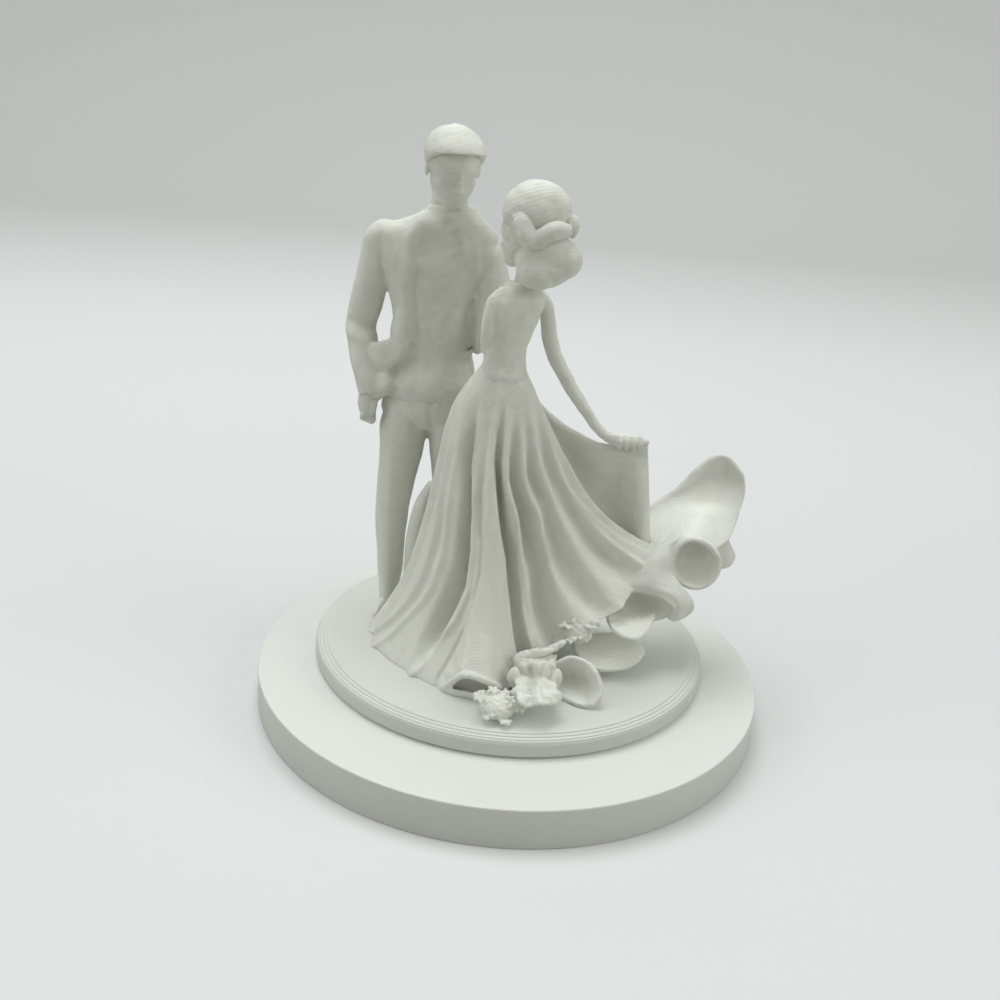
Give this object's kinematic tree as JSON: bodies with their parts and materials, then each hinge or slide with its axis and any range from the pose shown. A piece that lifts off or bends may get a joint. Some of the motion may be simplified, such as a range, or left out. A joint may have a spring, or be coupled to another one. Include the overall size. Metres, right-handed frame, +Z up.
{
  "type": "wedding couple figurine",
  "caption": "White printed groom and bride with a sweeping, petal-edged train, standing on a round disc on a wider round plinth.",
  "frame": {"origin": "centre of the plinth's underside", "axes": "+Z up, the front of the couple faces -Y, and the train sweeps out towards +X"},
  "size_m": [0.1, 0.1, 0.1096],
  "materials": {
    "white_plastic": "matte white printed plastic with fine level layer lines"
  },
  "bodies": {
    "root": {"plinth": "white_plastic", "base_disc": "white_plastic", "groom_right_shoe": "white_plastic", "groom_left_shoe": "white_plastic", "groom_trousers": "white_plastic", "groom_jacket": "white_plastic", "groom_jacket_front_fold": "white_plastic", "groom_jacket_front_corner": "white_plastic", "groom_right_sleeve": "white_plastic", "groom_left_sleeve": "white_plastic", "groom_right_hand": "white_plastic", "groom_left_hand": "white_plastic", "groom_neck": "white_plastic", "groom_head": "white_plastic", "groom_hair": "white_plastic", "bride_bodice": "white_plastic", "bride_neck": "white_plastic", "bride_head": "white_plastic", "bride_hair_crown": "white_plastic", "bride_hair_bun": "white_plastic", "bride_hair_roll": "white_plastic", "bride_left_arm": "white_plastic", "bride_right_arm": "white_plastic", "bride_right_hand": "white_plastic", "skirt": "white_plastic", "held_panel": "white_plastic", "train_sheet": "white_plastic", "curled_petal": "white_plastic", "tail_petal": "white_plastic", "rolled_petal": "white_plastic", "hollow_petal": "white_plastic", "lip_petal": "white_plastic", "long_petal": "white_plastic", "round_petal": "white_plastic", "crumpled_leaf": "white_plastic", "twisted_ribbon": "white_plastic", "flower_cluster_front": "white_plastic", "flower_cluster_side": "white_plastic"}
  },
  "joints": []
}
